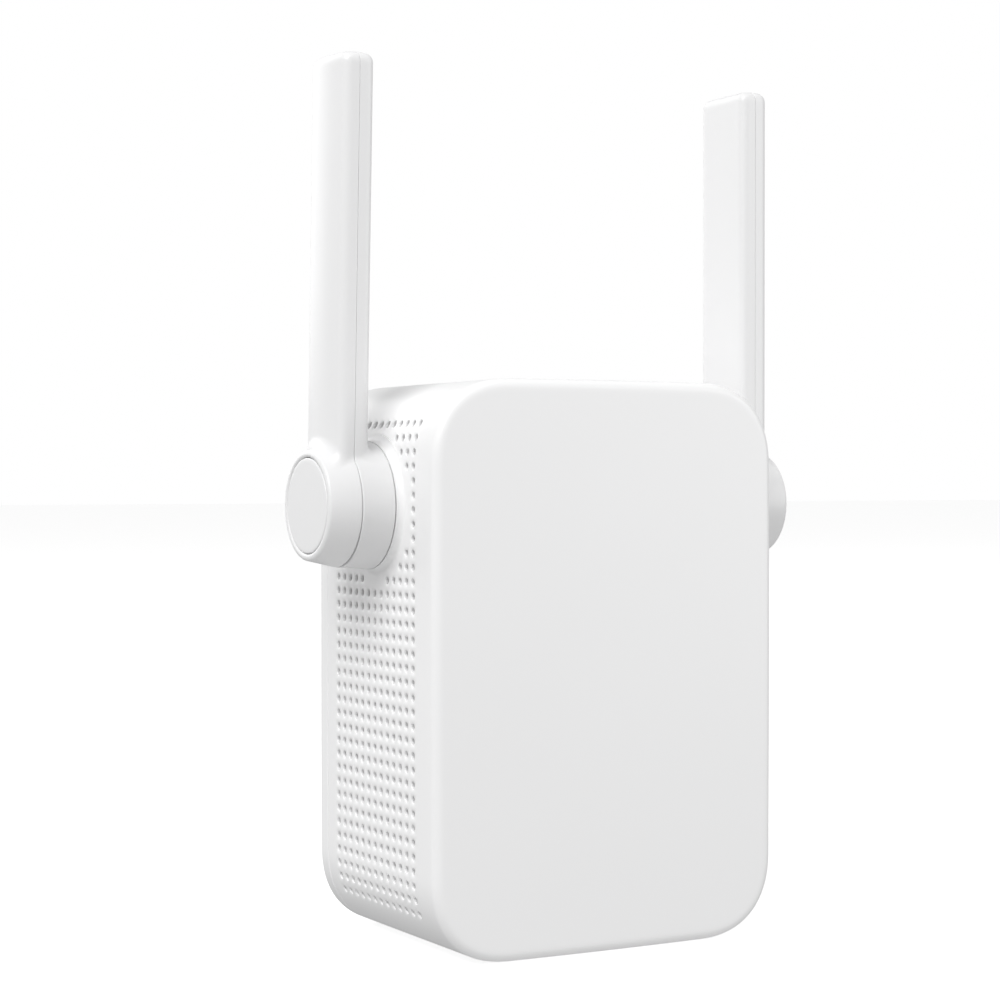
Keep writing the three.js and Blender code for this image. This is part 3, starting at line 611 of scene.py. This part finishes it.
def surface_net(field, axes):
    """Quads of the zero surface of field(x, y, z) on a rectilinear grid: one vertex in each crossed cell."""
    values = field(*np.meshgrid(*axes, indexing="ij"))
    inside = values < 0
    cells = tuple(size - 1 for size in values.shape)
    total = np.zeros(cells + (3,))
    hits = np.zeros(cells)
    crossings = []
    for a in range(3):
        b, c = (a + 1) % 3, (a + 2) % 3
        near = np.take(values, range(values.shape[a] - 1), a)
        far = np.take(values, range(1, values.shape[a]), a)
        i = np.argwhere((near < 0) != (far < 0))
        i = i[(i[:, b] > 0) & (i[:, c] > 0) & (i[:, b] < cells[b]) & (i[:, c] < cells[c])]
        v0, v1 = near[tuple(i.T)], far[tuple(i.T)]
        spot = np.stack([axes[n][i[:, n]] for n in range(3)], 1)
        spot[:, a] += v0 / (v0 - v1) * (axes[a][i[:, a] + 1] - axes[a][i[:, a]])
        corners = []
        for back_b, back_c in ((1, 1), (0, 1), (0, 0), (1, 0)):
            cell = i.copy()
            cell[:, b] -= back_b
            cell[:, c] -= back_c
            np.add.at(total, tuple(cell.T), spot)
            np.add.at(hits, tuple(cell.T), 1)
            corners.append(cell)
        crossings.append((corners, inside[tuple(i.T)]))
    number = np.full(cells, -1)
    used = np.argwhere(hits > 0)
    number[tuple(used.T)] = np.arange(len(used))
    points = total[tuple(used.T)] / hits[tuple(used.T)][:, None]
    faces = []
    for corners, leaving in crossings:
        quads = np.stack([number[tuple(cell.T)] for cell in corners], 1)
        faces += np.where(leaving[:, None], quads, quads[:, ::-1]).tolist()
    return settle(points, field), faces


def settle(points, field, step=0.02, limit=0.06):
    """Moves each vertex a little along the field's slope, onto the true surface."""
    for _ in range(2):
        value = field(*points.T)
        slope = np.stack([field(*(points + offset).T) - field(*(points - offset).T)
                          for offset in np.eye(3) * step], 1)
        slope /= 2 * step
        size = np.maximum((slope**2).sum(1), 0.25)
        points = points - np.clip(value / size, -limit, limit)[:, None] * slope
    return points


def to_row_frame(points, body):
    """From an antenna's own axes (x outwards from the wall, z along the paddle) to the body's."""
    side = -1 if body == "antenna_left" else 1
    placed = points * (side, side, 1)
    lean = LEAN[body]
    y, z = placed[:, 1].copy(), placed[:, 2].copy()
    placed[:, 1] = y * cos(lean) - z * sin(lean)
    placed[:, 2] = y * sin(lean) + z * cos(lean)
    return placed + (side * SIDE, HINGE_Y, HINGE_Z)


def antenna_axes(x_values):
    """The grid's x, y and z steps: fine round the hub, coarse up the paddle and fine again at its tip."""
    reach, fine = GRID["reach"], GRID["fine"]
    across = np.arange(-reach, reach + 0.01, fine)
    along = np.concatenate([np.arange(-reach, GRID["fine_to"], fine),
                            np.arange(GRID["fine_to"], GRID["tip_from"], GRID["paddle"]),
                            np.arange(GRID["tip_from"], PADDLE["tip"] + 0.6, GRID["tip"])])
    return [x_values, across, along]


def build_antennas():
    start, seam, end, coarse = HUB["start"], HUB["seam"], HUB["end"], GRID["hub_x"]
    from_seam = np.array([0, 0.05, 0.1, 0.18, 0.32])  # close steps at the parting plane and the hub's start
    outer_x = np.concatenate([seam + from_seam, np.arange(seam + 0.5, end + 0.5, coarse)])
    root_x = start + np.array([-0.06, 0.04, 0.12, 0.25, 0.45])
    inner_x = np.concatenate([np.arange(-6.7, 1.0, 0.7), root_x, np.arange(1.9, seam - 0.4, coarse),
                              seam - from_seam[::-1]])
    shells = {
        "outer": surface_net(outer_shell_field, antenna_axes(outer_x)),
        "inner": surface_net(inner_shell_field, antenna_axes(inner_x)),
    }
    radius, face, edge = END_CAP["radius"], END_CAP["face"], END_CAP["edge"]
    cap_edge = [(face - edge + edge * sin(a), radius - edge * (1 - cos(a)))
                for a in np.linspace(0, pi / 2, 5)]
    cap_points, cap_faces = turned([(END_CAP["start"], radius), *cap_edge, (face, radius - 0.6)], "X")
    for body in ("antenna_left", "antenna_right"):
        hand = body.split("_")[1]
        for part, (points, faces) in shells.items():
            shell = bare(f"paddle_{part}_{hand}", to_row_frame(points, body), faces)
            finish_piece(shell, ANTENNA, body, f"antenna_{part}_shell_{hand}", sharp=60)
        cap = bare(f"hub_cap_{hand}", to_row_frame(cap_points, body), cap_faces)
        finish_piece(cap, ANTENNA, body, f"hinge_end_cap_{hand}")


# ------------------------------------------------------------------ plug, socket, button and screws
def build_blades():
    corner, shoulder, tail_half = BLADE["corner"], BLADE["shoulder"], BLADE["tail"]
    for hand in ("left", "right"):
        low, high = box_mm(f"plug_blade_{hand}")
        thickness, half = high[0] - low[0], (high[2] - low[2]) / 2
        tip, tail = high[1], low[1]
        side = [(tip - corner, half), (tip, half - corner), (tip, corner - half), (tip - corner, -half),
                (shoulder, -half), (shoulder, -tail_half), (tail, -tail_half), (tail, tail_half),
                (shoulder, tail_half), (shoulder, half)]
        points = [(x, y, z) for x in (low[0], high[0]) for y, z in side]
        blade = bare(f"blade_{hand}", points, [face[::-1] for face in ring_faces(2, len(side))])
        centre = ((low[0] + high[0]) / 2, tip - BLADE["hole_from_tip"], 0)
        hole = [(-thickness, BLADE["hole"]), (thickness, BLADE["hole"])]
        combine(blade, [bare("hole", *turned(hole, "X", centre, count=40))], "DIFFERENCE")
        bevel(blade, BLADE["edge"], 3)
        finish_piece(blade, NICKEL, "housing", f"plug_blade_{hand}", sharp=40)


def build_socket():
    low, high = box_mm("ethernet_jack")
    jack = bare("socket_block", *slab(low, high))
    middle, bottom, top = (low[0] + high[0]) / 2, low[2] - 1, low[2] + SOCKET["depth"]
    main_top = high[1] - SOCKET["top"]
    main = slab((middle - SOCKET["half_width"], low[1] + SOCKET["lip"], bottom),
                (middle + SOCKET["half_width"], main_top, top))
    latch = slab((middle - SOCKET["latch_half"], main_top - 0.5, bottom),
                 (middle + SOCKET["latch_half"], high[1] - SOCKET["latch_top"], top))
    combine(jack, [bare("mouth", *main)], "DIFFERENCE")
    combine(jack, [bare("latch_step", *latch)], "DIFFERENCE")
    bevel(jack, SOCKET["edge"])
    finish_piece(jack, BLACK, "housing", "ethernet_jack", sharp=40)


def build_button():
    low, high = box_mm("wps_button_cap")
    y, z = (low[1:] + high[1:]) / 2
    cap = bare("button_cap", *oval(high[2] - low[2], high[1] - low[1], low[0], SIDE - WALL - GAP, y, z))
    face = bare("button_face", *oval(*BUTTON["face"], low[0] + 0.2, high[0], y, z, edge=BUTTON["edge"]))
    combine(cap, [face], "UNION")
    radii = np.linspace(0.01, BUTTON["dish"], 9)
    bowl = [(high[0] - BUTTON["dish_depth"] + r**2 / BUTTON["dish_curve"], r) for r in radii]
    dish, dish_faces = turned(bowl, "X", (0, y, 0), count=64)
    dish = dish * (1, 1, BUTTON["dish_stretch"]) + (0, 0, z)
    combine(cap, [bare("dish", dish, dish_faces)], "DIFFERENCE")
    finish_piece(cap, ANTENNA, "wps_button", "wps_button_cap", sharp=15)


def build_case_screws():
    """Pan-head screws with a tapered cross recess, one in each well of the rear cover."""
    shrink, arm, half = SCREW["cross_taper"], SCREW["cross"], SCREW["cross_half"]
    for number in range(1, 5):
        low, high = box_mm(f"case_screw_{number}")
        x, z = (low[[0, 2]] + high[[0, 2]]) / 2
        profile = [(low[1], SCREW["tip"]), (low[1] + SCREW["point"], SCREW["thread"]),
                   (SCREW["seat"] - 0.05, SCREW["thread"]), (SCREW["seat"], SCREW["head"])]
        profile += [(high[1] - SCREW["dome"] * (1 - cos(a)), 0.01 + SCREW["head"] * sin(a))
                    for a in np.linspace(pi / 2, 0, 9)]
        screw = bare(f"case_screw_new_{number}", *turned(profile, "Y", (x, 0, z), count=48))
        for half_x, half_z in ((arm, half), (half, arm)):
            pit = tapered_pit(x, z, (high[1] - SCREW["cross_depth"], half_x * shrink, half_z * shrink),
                              (high[1] + 0.3, half_x, half_z))
            combine(screw, [bare("cross", *pit)], "DIFFERENCE")
        finish_piece(screw, STEEL, "housing", f"case_screw_{number}", sharp=30)


# ------------------------------------------------------------------ CAD nodes that stay, by name or its start
CARRIED_OVER = {
    "rating_label": LABEL, "plug_carrier": BLACK, "power_board": BOARD, "main_board": BOARD,
    "transformer_core": FERRITE, "transformer_winding": COPPER, "fuse_resistor": SLEEVE,
    "bridge_rectifier": BLACK, "shield_can": STEEL, "wifi_chip": BLACK, "ethernet_transformer": BLACK,
    "board_link": NICKEL, "jack_contacts": GOLD, "led_strip": CLEAR, "light_guide": CLEAR,
    "wps_switch": BLACK, "reset_switch": BLACK, "board_screw": STEEL, "hub_screw": STEEL,
    "hinge_clip": STEEL, "friction_washer": STEEL, "input_capacitor": SLEEVE, "output_capacitor": SLEEVE,
    "radiator": COPPER, "antenna_coax": BLACK, "coax_pigtail": BLACK, "coax_socket": GOLD,
}


def dress_carried_nodes():
    """CAD nodes whose shape is right stay, with a finished material."""
    for name, node in frame["nodes"].items():
        for start, choice in CARRIED_OVER.items():
            if name.startswith(start):
                node.data.materials.clear()
                node.data.materials.append(choice)


# ------------------------------------------------------------------ stage, light and camera
def studio_world():
    """Soft light from all round, its level set by height, behind a backdrop the camera sees as white."""
    world = bpy.data.worlds.new("studio")
    bpy.context.scene.world = world
    world.use_nodes = True
    nodes, links = world.node_tree.nodes, world.node_tree.links
    place = nodes.new("ShaderNodeTexCoord")
    split = nodes.new("ShaderNodeSeparateXYZ")
    links.new(place.outputs["Generated"], split.inputs["Vector"])
    height = nodes.new("ShaderNodeMapRange")
    height.inputs["From Min"].default_value = -1
    links.new(split.outputs["Z"], height.inputs["Value"])
    ramp = nodes.new("ShaderNodeValToRGB")
    stops = ramp.color_ramp.elements
    for direction, _ in SKY[1:-1]:
        stops.new((direction + 1) / 2)
    for stop, (_, level) in zip(stops, SKY):
        stop.color = (level, level, level, 1)
    links.new(height.outputs["Result"], ramp.inputs["Fac"])
    sky = nodes["Background"]
    links.new(ramp.outputs["Color"], sky.inputs["Color"])
    sky.inputs["Strength"].default_value = SKY_STRENGTH
    white = nodes.new("ShaderNodeBackground")
    white.inputs["Color"].default_value = (1, 1, 1, 1)
    seen = nodes.new("ShaderNodeLightPath")
    choose = nodes.new("ShaderNodeMixShader")
    links.new(seen.outputs["Is Camera Ray"], choose.inputs["Fac"])
    links.new(sky.outputs["Background"], choose.inputs[1])
    links.new(white.outputs["Background"], choose.inputs[2])
    links.new(choose.outputs["Shader"], nodes["World Output"].inputs["Surface"])


def softbox(name, location, size, power):
    """A square area light aimed at the origin."""
    light = bpy.data.lights.new(name, "AREA")
    light.shape = "SQUARE"
    light.size = size
    light.energy = power
    lamp = bpy.data.objects.new(name, light)
    bpy.context.scene.collection.objects.link(lamp)
    lamp.location = location
    lamp.rotation_euler = (-Vector(location)).to_track_quat("-Z", "Y").to_euler()


def build_stage():
    z = BOTTOM - BOW[1]
    corners = [(x * FLOOR_REACH, y * FLOOR_REACH, z) for x, y in ((-1, -1), (1, -1), (1, 1), (-1, 1))]
    floor = bare("floor", corners, [(0, 1, 2, 3)])
    pale = material("pale_floor", (0.85, 0.85, 0.85), 0.9, grain=40, bump=0.0, drift=0.0,
                    Emission_Color=(1, 1, 1, 1), Emission_Strength=0.5)
    floor.data.materials.append(pale)
    floor.visible_diffuse = False
    floor.visible_glossy = False


def build_camera():
    camera = bpy.data.cameras.new("camera")
    camera.sensor_width = 36
    camera.lens = CAMERA["lens"]
    camera.clip_start = 0.01
    view = bpy.data.objects.new("camera", camera)
    bpy.context.scene.collection.objects.link(view)
    place = (-SIDE - CAMERA["left"], HINGE_Y - CAMERA["ahead"], HINGE_Z + CAMERA["above"])
    view.location = [length * MM for length in place]
    view.rotation_euler = Euler((radians(90 - CAMERA["down_deg"]), 0, radians(CAMERA["turn_deg"])))
    bpy.context.scene.camera = view


build_front_cover()
build_rear_cover()
build_antennas()
build_blades()
build_socket()
build_button()
build_case_screws()
dress_carried_nodes()
studio_world()
build_stage()
for softbox_name, settings in SOFTBOXES.items():
    softbox(softbox_name, *settings)
build_camera()
bpy.context.scene.view_settings.view_transform = "Standard"
